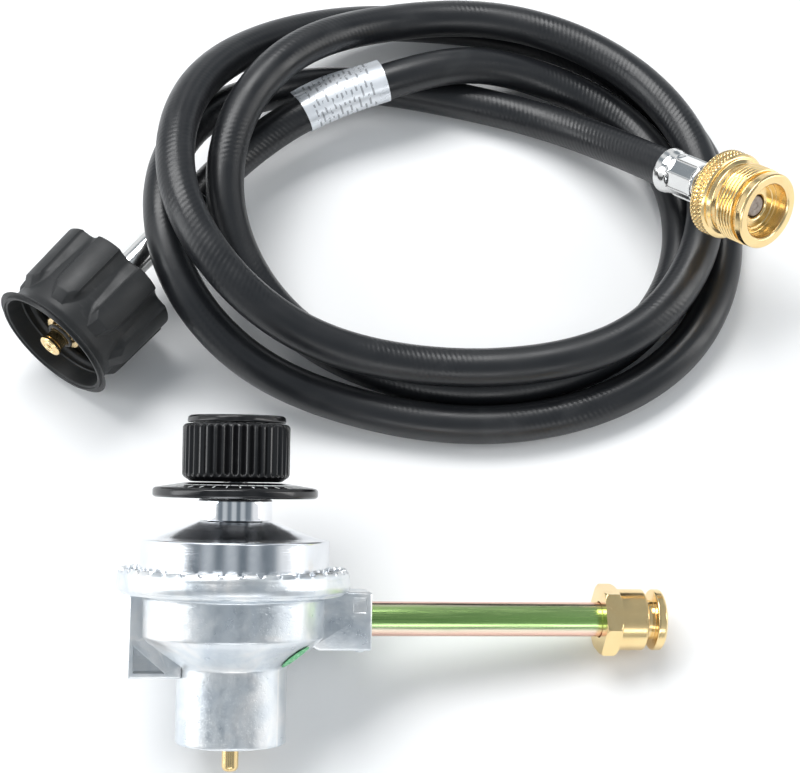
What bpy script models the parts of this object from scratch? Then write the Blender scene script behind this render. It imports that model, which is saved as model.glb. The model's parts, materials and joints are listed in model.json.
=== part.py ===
"""Propane hose kit, in two parts that lie side by side.

One part is a coiled rubber gas hose with a black tank nut on one end and a brass screw connector on the other.
The other is the separate pressure regulator that the brass connector screws into.

Blender 4.5, metres, +Z up. Sizes below are in millimetres and are scaled by MM where geometry is made.
Each group of turned pieces is modelled along its own axis: "s" is the distance along that axis.
"""
import math

import bmesh
import bpy
import numpy as np
from mathutils import Matrix, Vector

MM = 0.001
GAP = 0.3  # clearance between pieces that touch

# ---- hose ----
HOSE_RADIUS = 6.35
HOSE_POINTS = 78
HOSE_FLOOR = 6.4  # lowest height of the centreline, where the hose lies on the table

# ---- tank nut end: s = 0 at the nut's rear face, +s towards its mouth ----
NUT_PLACE = (-92.1, 56.3, 22.3)
NUT_YAW = -126.0
NUT_RISE = 5.0
NUT_LENGTH = 32.0
NUT_PADS = 8
NUT_PAD_RADIUS = 22.4
NUT_GROOVE = 2.4
NUT_RIM_RADIUS = 20.4
NUT_BORE_RADIUS = 17.6
STEM_RADIUS = 5.15
NUT_HOSE_S = -41.0  # where the hose starts behind the nut
PROBE_TIP_S = 32.8

# ---- brass connector end: s = 0 at the hose's end, +s towards the lip ----
CONNECTOR_PLACE = (91, 95.2, 28)
CONNECTOR_YAW = -48.0
CONNECTOR_RISE = 28.0
FERRULE_RADIUS = 6.9
FERRULE_BELL = 7.7
NECK_RADIUS = 4.6
KNURL_RADIUS = 14.3
THREAD_RADIUS = 12.7  # 1 inch, 20 threads to the inch
LIP_RADIUS = 12.4
CONNECTOR_LENGTH = 45.0
CONNECTOR_BORE = 8.9

# ---- regulator: s = 0 at the inlet's rim, +s towards the knob; +x along the outlet ----
REGULATOR_PLACE = (-48.8, -95.3)
REGULATOR_YAW = 89.0
INLET_RADIUS = 16.2
SOCKET_RADIUS = 12.8
SOCKET_DEPTH = 14.0
FUNNEL_LOW = 22.6  # the casting widens between these two heights
FUNNEL_TOP = 30.0
DRUM_RADIUS = 27.4
CHAMBER_RADIUS = 25.0
FLANGE_RADIUS = 34.5
FLANGE_S = 43.6
FLANGE_TOP = 51.2
BONNET_RADIUS = 28.0
SLEEVE_RADIUS = 11.0
SKIRT_RADIUS = 24.4
KNOB_RADIUS = 15.9
KNOB_FLUTES = 36
SPINDLE_RADIUS = 3.6
PIN_RADIUS = 2.45
TUBE_RADIUS = 5.15
TUBE_S = 36.3  # the outlet tube's axis, measured along the regulator
TUBE_END = 117.0
HEX_FLAT = 9.65  # half the hexagon's width across flats
HEX_X = 111.0
HEX_TURN = 43.0  # turns the hexagon so that it rests on a flat
FITTING_RADIUS = 9.25
HEAD_X = 130.3  # the outlet's end face
STICKER_S = 26.3  # the sticker's middle, on the funnel
STICKER_ANGLE = -36.0
LEAN = math.atan2(FLANGE_RADIUS - INLET_RADIUS, FLANGE_S)  # both rims touch the table
INLET_HEIGHT = INLET_RADIUS * math.cos(LEAN)
ROLL = math.asin(
    (INLET_HEIGHT + TUBE_S * math.sin(LEAN) - FITTING_RADIUS - 0.4) / (HEAD_X * math.cos(LEAN))
)  # the outlet's head touches the table as well

# Centreline of the hose between its two ends: loose turns that lie on and over each other.
ROUTE = [
    (-31, 126, 17.5), (-2, 137, 20.5), (26, 145.5, 17.5), (54, 144, 9.5), (79, 130, 6.5), (95, 104, 6.4),
    (96, 73, 6.4), (80, 44, 6.4), (45, 26, 6.6), (0, 28, 6.8), (-38, 48, 13), (-56, 78, 27),
    (-53, 112, 35), (-37, 137, 34.5), (-4, 159, 23.5), (30, 164, 19.6), (68, 151, 19.5), (94, 125, 20),
    (104, 98, 19.5), (100, 68, 19), (77, 38, 19.6), (42, 26, 20), (6, 26, 20.5), (-30, 33, 29),
    (-54, 49, 39.5), (-70, 77, 45.8), (-71, 107, 43), (-53, 145, 27), (-17, 166, 14), (16, 170, 8),
    (50, 165, 6.4), (83, 147, 6.4), (104, 120, 6.4), (112, 91, 6.4), (109, 64, 6.4), (94, 37, 6.4),
    (61, 16.5, 6.4), (24, 11, 6.6), (-16, 17, 9), (-48, 29, 18), (-71, 54, 30), (-77, 86, 33.2),
    (-68, 116, 25.6), (-50, 134, 15.5), (-22, 144, 8), (14, 140, 6.6), (56, 126, 8.8),
]


# ---------------------------------------------------------------- helpers


def clear_scene():
    for item in list(bpy.data.objects):
        bpy.data.objects.remove(item, do_unlink=True)


def material(name, colour, metallic, roughness):
    made = bpy.data.materials.new(name)
    made.use_nodes = True
    shader = made.node_tree.nodes["Principled BSDF"]
    shader.inputs["Base Color"].default_value = (*colour, 1.0)
    shader.inputs["Metallic"].default_value = metallic
    shader.inputs["Roughness"].default_value = roughness
    return made


def turn_to(yaw, rise, roll=0.0):
    """Rotation that points local +Z along a heading, then turns about it; degrees."""
    heading = Matrix.Rotation(math.radians(yaw), 4, "Z")
    tilt = Matrix.Rotation(math.radians(90.0 - rise), 4, "Y")
    return heading @ tilt @ Matrix.Rotation(math.radians(roll), 4, "Z")


def axis_empty(name, place, rotation, parent=None):
    empty = bpy.data.objects.new(name, None)
    bpy.context.collection.objects.link(empty)
    empty.parent = parent
    empty.location = Vector(place) * MM
    empty.rotation_euler = rotation.to_euler()
    return empty


def place_mesh(name, bm, parent, finish, place=(0, 0, 0), sharp=35.0):
    """Turn a bmesh in millimetres into a smooth-shaded object."""
    bmesh.ops.recalc_face_normals(bm, faces=bm.faces)
    bmesh.ops.scale(bm, vec=(MM, MM, MM), verts=bm.verts)
    mesh = bpy.data.meshes.new(name)
    bm.to_mesh(mesh)
    bm.free()
    mesh.shade_smooth()
    mesh.set_sharp_from_angle(angle=math.radians(sharp))
    item = bpy.data.objects.new(name, mesh)
    bpy.context.collection.objects.link(item)
    item.parent = parent
    item.location = Vector(place) * MM
    if finish:
        mesh.materials.append(finish)
    return item


def groove_depth(angle, count):
    """1 in the middle of each of count grooves around a piece, 0 on the pads between them."""
    phase = (angle * count / math.tau) % 1.0
    return min(max((abs(phase - 0.5) - 0.3) / 0.1, 0.0), 1.0)


def turned(name, outline, parent, finish, segments=24, grooves=0, hexagon=(), place=(0, 0, 0)):
    """Solid of revolution from (radius, s) or (radius, s, groove) points; a radius of 0 closes it on the axis.

    Points whose index is in hexagon have flat sides, with radius as half the width across flats.
    """
    bm = bmesh.new()
    rings = []
    for index, point in enumerate(outline):
        radius, height = point[0], point[1]
        if radius == 0:
            rings.append([bm.verts.new((0, 0, height))])
            continue
        ring = []
        for k in range(segments):
            angle = math.tau * k / segments
            reach = radius
            if len(point) > 2:
                reach -= point[2] * groove_depth(angle, grooves)
            if index in hexagon:
                reach /= math.cos((angle % (math.pi / 3)) - math.pi / 6)
            ring.append(bm.verts.new((reach * math.cos(angle), reach * math.sin(angle), height)))
        rings.append(ring)
    pairs = list(zip(rings, rings[1:]))
    if outline[0][0] and outline[-1][0]:
        pairs.append((rings[-1], rings[0]))
    for lower, upper in pairs:
        for k in range(segments):
            after = (k + 1) % segments
            if len(lower) == 1 and len(upper) == 1:
                continue
            if len(lower) == 1:
                bm.faces.new((lower[0], upper[k], upper[after]))
            elif len(upper) == 1:
                bm.faces.new((lower[k], lower[after], upper[0]))
            else:
                bm.faces.new((lower[k], lower[after], upper[after], upper[k]))
    return place_mesh(name, bm, parent, finish, place)


def ring_outline(mean, minor, height, points=6):
    """Round section of an O-ring."""
    turn = [math.tau * k / points for k in range(points)]
    return [(mean + minor * math.cos(a), height + minor * math.sin(a)) for a in turn]


def cylinder_outline(radius, low, high):
    return [(0, low), (radius, low), (radius, high), (0, high)]


def prism(name, outline, depth_low, depth_high, parent, finish=None):
    """Flat outline of (x, s) points, extruded along local Y."""
    bm = bmesh.new()
    verts = [bm.verts.new((x, depth_low, s)) for x, s in outline]
    face = bm.faces.new(verts)
    moved = bmesh.ops.extrude_face_region(bm, geom=[face])["geom"]
    tops = [v for v in moved if isinstance(v, bmesh.types.BMVert)]
    bmesh.ops.translate(bm, vec=(0, depth_high - depth_low, 0), verts=tops)
    return place_mesh(name, bm, parent, finish)


def combine(target, tool, operation):
    """Exact Boolean of a hidden tool object onto the target."""
    tool.hide_render = True
    tool.display_type = "WIRE"
    step = target.modifiers.new(tool.name, "BOOLEAN")
    step.solver = "EXACT"
    step.operation = operation
    step.object = tool


def sections(path):
    """Frames along a path of points: the two directions across it at each point, without twist."""
    path = np.asarray(path, float)
    ahead = np.gradient(path, axis=0)
    ahead /= np.linalg.norm(ahead, axis=1)[:, None]
    side = np.cross(ahead[0], (0.0, 0.0, 1.0))
    frames = []
    for direction in ahead:
        side = side - direction * np.dot(side, direction)
        side /= np.linalg.norm(side)
        frames.append((side, np.cross(direction, side)))
    return path, frames


def swept(name, path, radius, parent, finish, hollow=0.0, sides=12):
    """Round bar, or a sleeve when hollow is its inner radius, along a path of points in millimetres."""
    bm = bmesh.new()
    path, frames = sections(path)
    rings = []
    for reach in [radius, hollow] if hollow else [radius]:
        shell = []
        for centre, (side, up) in zip(path, frames):
            turn = [math.tau * k / sides for k in range(sides)]
            offsets = [reach * (math.cos(a) * side + math.sin(a) * up) for a in turn]
            shell.append([bm.verts.new(centre + offset) for offset in offsets])
        rings.append(shell)
    for shell in rings:
        for first, second in zip(shell, shell[1:]):
            for k in range(sides):
                after = (k + 1) % sides
                bm.faces.new((first[k], first[after], second[after], second[k]))
    for end in (0, -1):
        if hollow:
            for k in range(sides):
                after = (k + 1) % sides
                outer, inner = rings[0][end], rings[1][end]
                bm.faces.new((outer[k], outer[after], inner[after], inner[k]))
        else:
            bm.faces.new(rings[0][end])
    return place_mesh(name, bm, parent, finish)


def coil_spring(name, radius, wire, low, high, turns, parent, finish):
    """Helical compression spring between two heights, wire included."""
    steps = int(turns * 9)
    points = []
    for k in range(steps + 1):
        angle = math.tau * turns * k / steps
        height = low + wire + (high - low - 2 * wire) * k / steps
        points.append((radius * math.cos(angle), radius * math.sin(angle), height))
    return swept(name, points, wire, parent, finish, sides=4)


def smooth_curve(points, samples):
    """Natural cubic spline through the points, read at even steps along its length."""
    points = np.asarray(points, float)
    span = np.linalg.norm(np.diff(points, axis=0), axis=1)
    count = len(points)
    matrix = np.eye(count)
    bend = np.zeros((count, 3))
    for i in range(1, count - 1):
        matrix[i, i - 1:i + 2] = (span[i - 1], 2 * (span[i - 1] + span[i]), span[i])
        bend[i] = 6 * ((points[i + 1] - points[i]) / span[i] - (points[i] - points[i - 1]) / span[i - 1])
    second = np.linalg.solve(matrix, bend)
    fine = []
    for i in range(count - 1):
        done = np.linspace(0, span[i], 16, endpoint=False)[:, None]
        left = span[i] - done
        curved = (second[i] * left**3 + second[i + 1] * done**3) / (6 * span[i])
        start = (points[i] / span[i] - second[i] * span[i] / 6) * left
        stop = (points[i + 1] / span[i] - second[i + 1] * span[i] / 6) * done
        fine.append(curved + start + stop)
    fine = np.vstack([*fine, points[-1:]])
    travelled = np.concatenate([[0], np.cumsum(np.linalg.norm(np.diff(fine, axis=0), axis=1))])
    wanted = np.linspace(0, travelled[-1], samples)
    return np.stack([np.interp(wanted, travelled, fine[:, k]) for k in range(3)], axis=-1)


def along(place, rotation, distance):
    """Point at a distance along an axis, in millimetres."""
    return tuple(Vector(place) + rotation.to_3x3() @ Vector((0, 0, distance)))


# ---------------------------------------------------------------- hose and its two ends


def hose_line():
    """The whole centreline: straight out of both fittings, and through the route between them."""
    nut_turn = turn_to(NUT_YAW, NUT_RISE)
    connector_turn = turn_to(CONNECTOR_YAW, CONNECTOR_RISE)
    start = [along(NUT_PLACE, nut_turn, NUT_HOSE_S), along(NUT_PLACE, nut_turn, NUT_HOSE_S - 12)]
    stop = [along(CONNECTOR_PLACE, connector_turn, -12), CONNECTOR_PLACE]
    line = smooth_curve([*start, *ROUTE, *stop], HOSE_POINTS)
    line[:, 2] = np.maximum(line[:, 2], HOSE_FLOOR)
    return line


def build_hose(rubber, foil):
    line = hose_line()
    curve = bpy.data.curves.new("hose", "CURVE")
    curve.dimensions = "3D"
    curve.bevel_depth = HOSE_RADIUS * MM
    curve.bevel_resolution = 2
    curve.use_fill_caps = True
    curve.materials.append(rubber)
    spline = curve.splines.new("POLY")
    spline.points.add(len(line) - 1)
    for point, place in zip(spline.points, line):
        point.co = (*(place * MM), 1.0)
    hose = bpy.data.objects.new("hose", curve)
    bpy.context.collection.objects.link(hose)
    # The foil label wraps the hose about 70 mm from the tank nut's ferrule.
    label = [line[2] * 0.6 + line[3] * 0.4, line[3], line[3] * 0.25 + line[4] * 0.75]
    swept("hose_label", label, HOSE_RADIUS + 0.75, None, foil, hollow=HOSE_RADIUS + 0.45, sides=16)


def ferrule_outline(inner, bell_s, plain_s):
    """Crimped sleeve, with a wider bell at the end that the hose enters."""
    way = 1 if plain_s > bell_s else -1
    return [
        (inner, bell_s), (FERRULE_BELL, bell_s), (FERRULE_BELL, bell_s + 3.2 * way),
        (FERRULE_RADIUS, bell_s + 5.0 * way), (FERRULE_RADIUS, plain_s - way), (6.4, plain_s),
        (inner, plain_s),
    ]


def build_nut_end(black, brass, nickel, rubber, steel):
    axis = axis_empty("tank_nut_axis", NUT_PLACE, turn_to(NUT_YAW, NUT_RISE))
    nut = [
        (NUT_PAD_RADIUS - 0.8, 0, NUT_GROOVE), (NUT_PAD_RADIUS, 1, NUT_GROOVE),
        (NUT_PAD_RADIUS - 0.8, 22, 2.0), (19.6, 25.6), (NUT_RIM_RADIUS, 31),
        (NUT_RIM_RADIUS - 0.2, NUT_LENGTH), (NUT_BORE_RADIUS + 1.0, NUT_LENGTH), (NUT_BORE_RADIUS, 4),
        (STEM_RADIUS + 0.45, 4), (STEM_RADIUS + 0.45, 0),
    ]
    turned("coupling_nut", nut, axis, black, segments=NUT_PADS * 8, grooves=NUT_PADS)
    bushing = [(STEM_RADIUS + 0.4, 4 + GAP), (14.5, 4 + GAP), (14.5, 7.5), (STEM_RADIUS + 0.4, 7.5)]
    turned("thermal_bushing", bushing, axis, black)
    nipple = [
        (STEM_RADIUS + GAP, 7.8), (11, 7.8), (11, 11), (8, 12.2), (8, 20), (6.8, 21.5), (6.8, 26.4),
        (3.3, 26.4), (3.3, 31.2), (3.9, 31.6), (3.9, PROBE_TIP_S - 0.3), (3.6, PROBE_TIP_S),
        (1, PROBE_TIP_S), (1, 24), (2.6, 23), (2.6, 14), (STEM_RADIUS + GAP, 14),
    ]
    turned("inlet_nipple", nipple, axis, brass, segments=20)
    turned("nipple_seal", ring_outline(4.2, 0.6, 27.4), axis, rubber, segments=16)
    poppet = [(0, 19.2), (2.2, 19.2), (2.2, 21.6), (0.7, 22.6), (0, 22.6)]
    turned("check_poppet", poppet, axis, brass, segments=16)
    coil_spring("check_spring", 1.8, 0.28, 14.4, 17.4, 3, axis, steel)
    stem = [(3, 13.7), (STEM_RADIUS, 13.7), (STEM_RADIUS, NUT_HOSE_S + GAP), (3, NUT_HOSE_S + GAP)]
    turned("stem_tube", stem, axis, nickel, segments=24)
    sleeve = ferrule_outline(STEM_RADIUS + GAP, NUT_HOSE_S + GAP, -26.0)
    turned("nut_end_ferrule", sleeve, axis, nickel, segments=20)


def build_connector_end(brass, nickel, rubber, steel):
    axis = axis_empty("connector_axis", CONNECTOR_PLACE, turn_to(CONNECTOR_YAW, CONNECTOR_RISE))
    turned("connector_ferrule", ferrule_outline(NECK_RADIUS + GAP, GAP, 17.5), axis, nickel, segments=20)
    tailpiece = [
        (2.6, GAP), (NECK_RADIUS, GAP), (NECK_RADIUS, 26.6), (7.3, 26.6), (7.3, 28.6), (NECK_RADIUS, 28.6),
        (NECK_RADIUS, 30.2), (2.6, 30.2),
    ]
    turned("connector_tailpiece", tailpiece, axis, nickel, segments=20)
    lip_s = CONNECTOR_LENGTH
    body = [
        (7.9, 24), (KNURL_RADIUS - 0.7, 24), (KNURL_RADIUS, 24.7), (KNURL_RADIUS, 29.3),
        (KNURL_RADIUS - 0.7, 30), (12.3, 30), (12.3, 34), (THREAD_RADIUS, 34.5), (THREAD_RADIUS, 41),
        (11.6, 41.3), (11.6, 41.9), (LIP_RADIUS, 42.2), (LIP_RADIUS, lip_s - 0.4), (LIP_RADIUS - 0.4, lip_s),
        (CONNECTOR_BORE + 0.3, lip_s), (CONNECTOR_BORE, lip_s - 0.3), (CONNECTOR_BORE, 40), (3.8, 40),
        (3.8, 36.5), (7.9, 36.5),
    ]
    turned("connector_body", body, axis, brass, segments=32)
    retainer = [(NECK_RADIUS + GAP, 24.2), (7.6, 24.2), (7.6, 26.3), (NECK_RADIUS + GAP, 26.3)]
    turned("swivel_retainer", retainer, axis, steel, segments=24)
    turned("swivel_seal", ring_outline(5.8, 0.8, 29.7), axis, rubber, segments=16)
    coil_spring("connector_spring", 4.2, 0.4, 31.0, 33.4, 2, axis, steel)
    poppet = [(0, 35.2), (6, 35.2), (6, 36.2), (3.4, 36.2), (3.4, 39.2), (3.0, 39.6), (0, 39.6)]
    turned("connector_poppet", poppet, axis, rubber, segments=20)


# ---------------------------------------------------------------- regulator


def build_regulator_body(axis, outlet, zinc):
    outline = [
        (4.8, SOCKET_DEPTH), (SOCKET_RADIUS, SOCKET_DEPTH), (SOCKET_RADIUS, 0.8), (SOCKET_RADIUS + 0.8, 0),
        (INLET_RADIUS, 0), (INLET_RADIUS, FUNNEL_LOW), (26, FUNNEL_TOP), (DRUM_RADIUS, 31.4),
        (DRUM_RADIUS, 43), (FLANGE_RADIUS, FLANGE_S), (FLANGE_RADIUS, FLANGE_TOP - 0.6),
        (FLANGE_RADIUS - 0.6, FLANGE_TOP), (31.5, FLANGE_TOP), (31.5, 49.6), (33.3, 49.6), (33.3, 45.6),
        (CHAMBER_RADIUS, 45.6), (CHAMBER_RADIUS, 34), (22, 31.5), (4.8, 31.5),
    ]
    body = turned("regulator_body", outline, axis, zinc, segments=36)
    # Mounting bracket cast on the side away from the outlet, with a pocket in each face.
    bracket_shape = [(-30.3, 19.4), (-15, 19.4), (-15, 24), (-26, 33), (-26, 43.4), (-30.3, 43.4)]
    combine(body, prism("bracket_solid", bracket_shape, -7, 7, axis), "UNION")
    pocket_shape = [(-28.5, 21.2), (-18.5, 21.2), (-28.5, 29.8)]
    combine(body, prism("bracket_pocket_front", pocket_shape, -8, -1.5, axis), "DIFFERENCE")
    combine(body, prism("bracket_pocket_back", pocket_shape, 1.5, 8, axis), "DIFFERENCE")
    # Outlet boss, then the chamber is opened again behind it and the boss is bored for the tube.
    boss_shape = [(20, 30), (24, 27.6), (40.3, 27.6), (40.3, 44.7), (20, 44.7)]
    combine(body, prism("boss_solid", boss_shape, -8.5, 8.5, axis), "UNION")
    chamber = turned("boss_chamber", cylinder_outline(CHAMBER_RADIUS, 34, 45.5), axis, None, segments=36)
    combine(body, chamber, "DIFFERENCE")
    bore = turned("boss_bore", cylinder_outline(TUBE_RADIUS + GAP, 22, 42), outlet, None, segments=24)
    combine(body, bore, "DIFFERENCE")


def build_inlet(axis, brass, rubber, steel):
    pin = [
        (0, -8.2), (1.6, -8.2), (PIN_RADIUS, -7.2), (PIN_RADIUS, 14.4), (4.5, 14.4), (4.5, 18.4), (0, 18.4),
    ]
    turned("inlet_pin", pin, axis, brass, segments=20)
    gasket = [(8.2, 11.8), (SOCKET_RADIUS - 0.4, 11.8), (SOCKET_RADIUS - 0.4, 13.7), (8.2, 13.7)]
    turned("inlet_gasket", gasket, axis, rubber, segments=24)
    seat = [(1.6, 26.8), (4.5, 26.8), (4.5, 31.8), (6, 31.8), (6, 33), (1.6, 33)]
    turned("valve_seat", seat, axis, brass, segments=24)
    plug = [(0, 23.6), (3.2, 23.6), (3.2, 26.3), (0.9, 26.5), (0.9, 45.2), (0, 45.2)]
    turned("valve_plug", plug, axis, rubber, segments=16)
    coil_spring("plug_spring", 2.7, 0.3, 18.8, 22.0, 3, axis, steel)


def build_diaphragm(axis, rubber, steel, brass):
    sheet = [
        (12.6, 46), (20, 46), (21.5, 46.9), (23.5, 46.9), (25, 46), (33, 46), (33, 46.8), (24.8, 46.8),
        (23.8, 47.7), (21.2, 47.7), (20.2, 46.8), (12.6, 46.8),
    ]
    turned("diaphragm", sheet, axis, rubber, segments=24)
    plate = [(2.4, 46.1), (12.2, 46.1), (12.2, 47.3), (2.4, 47.3)]
    turned("diaphragm_plate", plate, axis, steel, segments=24)
    rivet = [(0, 45.5), (2.1, 45.5), (2.1, 47.6), (3.6, 47.6), (3.2, 48.8), (0, 48.8)]
    turned("diaphragm_rivet", rivet, axis, brass, segments=20)
    coil_spring("main_spring", 9.0, 0.75, 47.7, 56.4, 3.5, axis, steel)


def build_bonnet(axis, zinc, chrome):
    bonnet = [
        (25.6, 47.2), (33, 47.2), (33, 49.2), (28.6, 49.2), (BONNET_RADIUS, 49.8), (BONNET_RADIUS, 59),
        (BONNET_RADIUS - 0.6, 59.5), (SLEEVE_RADIUS + 0.3, 64.8), (8.2, 64.8), (8.2, 63.4), (25.6, 57.6),
    ]
    turned("regulator_bonnet", bonnet, axis, zinc, segments=32)
    sleeve = [
        (SPINDLE_RADIUS + 0.35, 63.5), (7.9, 63.5), (7.9, 65.1), (SLEEVE_RADIUS, 65.1), (SLEEVE_RADIUS, 71),
        (SLEEVE_RADIUS - 0.5, 71.5), (SPINDLE_RADIUS + 0.35, 71.5),
    ]
    turned("stem_sleeve", sleeve, axis, chrome, segments=24)


def build_knob(axis, gloss, steel, brass):
    adjuster = [(0, 59.4), (9.5, 59.4), (9.5, 61), (6, 61.4), (6, 62.5), (0, 62.5)]
    turned("spring_adjuster", adjuster, axis, brass, segments=24)
    turned("control_spindle", cylinder_outline(SPINDLE_RADIUS, 62.9, 92.2), axis, steel, segments=20)
    skirt = [
        (SPINDLE_RADIUS + GAP, 71.8), (SKIRT_RADIUS - 0.5, 71.8), (SKIRT_RADIUS, 72.3), (SKIRT_RADIUS, 74.2),
        (SKIRT_RADIUS - 0.6, 74.7), (14.5, 76.2), (SPINDLE_RADIUS + GAP, 76.2),
    ]
    turned("dial_skirt", skirt, axis, gloss, segments=32)
    knob = [
        (SPINDLE_RADIUS + GAP, 76.5), (13.6, 76.5), (KNOB_RADIUS, 78.6, 0.7), (KNOB_RADIUS, 93, 0.7),
        (KNOB_RADIUS - 0.9, 93.6), (0, 93.6), (0, 92.6), (SPINDLE_RADIUS + GAP, 92.6),
    ]
    turned("control_knob", knob, axis, gloss, segments=KNOB_FLUTES * 2, grooves=KNOB_FLUTES)
    cap = [(0, 93.9), (14.3, 93.9), (14.3, 95.4), (13.4, 96.1), (0, 96.1)]
    turned("knob_cap", cap, axis, gloss, segments=24)


def build_outlet(outlet, plated, brass):
    tube = [(4.2, 26.5), (TUBE_RADIUS, 26.5), (TUBE_RADIUS, TUBE_END), (4.2, TUBE_END)]
    turned("outlet_tube", tube, outlet, plated, segments=24)
    bore = TUBE_RADIUS + GAP
    fitting = [
        (bore, HEX_X), (HEX_FLAT - 0.6, HEX_X), (HEX_FLAT, HEX_X + 0.5), (HEX_FLAT, HEX_X + 4.5),
        (HEX_FLAT - 0.6, HEX_X + 5), (FITTING_RADIUS, HEX_X + 5), (FITTING_RADIUS, 124.5), (6, 124.5),
        (6, 127.3), (FITTING_RADIUS, 127.3), (FITTING_RADIUS, HEAD_X - 0.5), (FITTING_RADIUS - 0.5, HEAD_X),
        (3.9, HEAD_X), (3.9, HEAD_X - 0.4), (2.5, HEAD_X - 0.4), (2.5, 118), (bore, 118),
    ]
    turned("outlet_fitting", fitting, outlet, brass, segments=24, hexagon=(2, 3))
    jet = [
        (0.6, 126), (2.2, 126), (2.2, 130.2), (3.5, 130.2), (3.3, 131.6), (2.4, 132.3), (0.6, 132.5),
    ]
    turned("outlet_jet", jet, outlet, brass, segments=20)


def build_sticker(axis, green):
    """Oval inspection sticker, a thin patch that follows the casting's funnel."""
    slope = (26 - INLET_RADIUS) / (FUNNEL_TOP - FUNNEL_LOW)
    turned_by = math.radians(STICKER_ANGLE)
    bm = bmesh.new()
    shells = []
    for lift in (0.35, 0.6):
        rim = []
        for k in range(20):
            turn = math.tau * k / 20
            s = STICKER_S + 3.2 * math.sin(turn)
            radius = INLET_RADIUS + (s - FUNNEL_LOW) * slope + lift * 1.5
            angle = turned_by + 2.6 * math.cos(turn) / radius
            rim.append(bm.verts.new((radius * math.cos(angle), radius * math.sin(angle), s)))
        radius = INLET_RADIUS + (STICKER_S - FUNNEL_LOW) * slope + lift * 1.5
        middle = bm.verts.new((radius * math.cos(turned_by), radius * math.sin(turned_by), STICKER_S))
        shells.append(rim)
        for k in range(20):
            bm.faces.new((rim[k], rim[(k + 1) % 20], middle))
    for k in range(20):
        after = (k + 1) % 20
        bm.faces.new((shells[0][k], shells[0][after], shells[1][after], shells[1][k]))
    place_mesh("inspection_sticker", bm, axis, green)


def main():
    clear_scene()
    hose_rubber = material("hose_rubber", (0.012, 0.013, 0.014), 0.0, 0.42)
    seal_rubber = material("seal_rubber", (0.25, 0.22, 0.19), 0.0, 0.6)
    foil = material("label_foil", (0.75, 0.77, 0.8), 0.3, 0.35)
    black = material("black_plastic", (0.02, 0.021, 0.022), 0.0, 0.5)
    gloss = material("gloss_black_plastic", (0.01, 0.01, 0.011), 0.0, 0.2)
    brass = material("brass", (0.83, 0.6, 0.22), 1.0, 0.22)
    nickel = material("nickel_plate", (0.75, 0.74, 0.72), 1.0, 0.18)
    chrome = material("chrome_plate", (0.8, 0.8, 0.8), 1.0, 0.08)
    zinc = material("cast_zinc", (0.62, 0.65, 0.67), 1.0, 0.35)
    plated = material("yellow_zinc_plate", (0.42, 0.55, 0.24), 1.0, 0.25)
    steel = material("spring_steel", (0.5, 0.5, 0.5), 1.0, 0.3)
    green = material("green_sticker", (0.05, 0.35, 0.1), 0.0, 0.5)

    build_hose(hose_rubber, foil)
    build_nut_end(black, brass, nickel, seal_rubber, steel)
    build_connector_end(brass, nickel, seal_rubber, steel)

    rest = turn_to(REGULATOR_YAW, math.degrees(LEAN), math.degrees(ROLL) - 90)
    axis = axis_empty("regulator_axis", (*REGULATOR_PLACE, INLET_HEIGHT), rest)
    sideways = Matrix.Rotation(math.pi / 2, 4, "Y") @ Matrix.Rotation(math.radians(HEX_TURN), 4, "Z")
    outlet = axis_empty("outlet_axis", (0, 0, TUBE_S), sideways, axis)
    build_regulator_body(axis, outlet, zinc)
    build_inlet(axis, brass, seal_rubber, steel)
    build_diaphragm(axis, seal_rubber, steel, brass)
    build_bonnet(axis, zinc, chrome)
    build_knob(axis, gloss, steel, brass)
    build_outlet(outlet, plated, brass)
    build_sticker(axis, green)


main()
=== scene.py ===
"""Looks of the propane hose kit: fine meshes and finishes for every piece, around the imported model.

Each group of turned pieces is drawn along its own axis in millimetres: "s" is the distance along that axis.
"""
import json
import math

import bmesh
import bpy
import numpy as np
from mathutils import Matrix, Vector


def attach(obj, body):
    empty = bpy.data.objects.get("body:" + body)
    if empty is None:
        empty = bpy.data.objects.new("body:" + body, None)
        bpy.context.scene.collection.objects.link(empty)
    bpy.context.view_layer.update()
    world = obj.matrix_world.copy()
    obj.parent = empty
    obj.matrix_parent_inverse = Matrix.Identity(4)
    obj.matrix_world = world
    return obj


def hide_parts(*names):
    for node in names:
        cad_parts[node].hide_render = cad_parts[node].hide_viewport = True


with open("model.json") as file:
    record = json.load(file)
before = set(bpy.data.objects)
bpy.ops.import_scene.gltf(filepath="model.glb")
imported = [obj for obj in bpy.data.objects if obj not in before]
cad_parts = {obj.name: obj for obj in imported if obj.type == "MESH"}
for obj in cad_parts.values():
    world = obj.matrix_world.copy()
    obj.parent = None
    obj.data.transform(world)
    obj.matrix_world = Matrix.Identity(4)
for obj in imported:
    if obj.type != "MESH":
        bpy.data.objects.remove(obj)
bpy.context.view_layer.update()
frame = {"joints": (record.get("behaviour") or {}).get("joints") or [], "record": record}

MM = 0.001
TAU = math.tau
CLEAR = 0.3  # gap between pieces that touch

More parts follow.
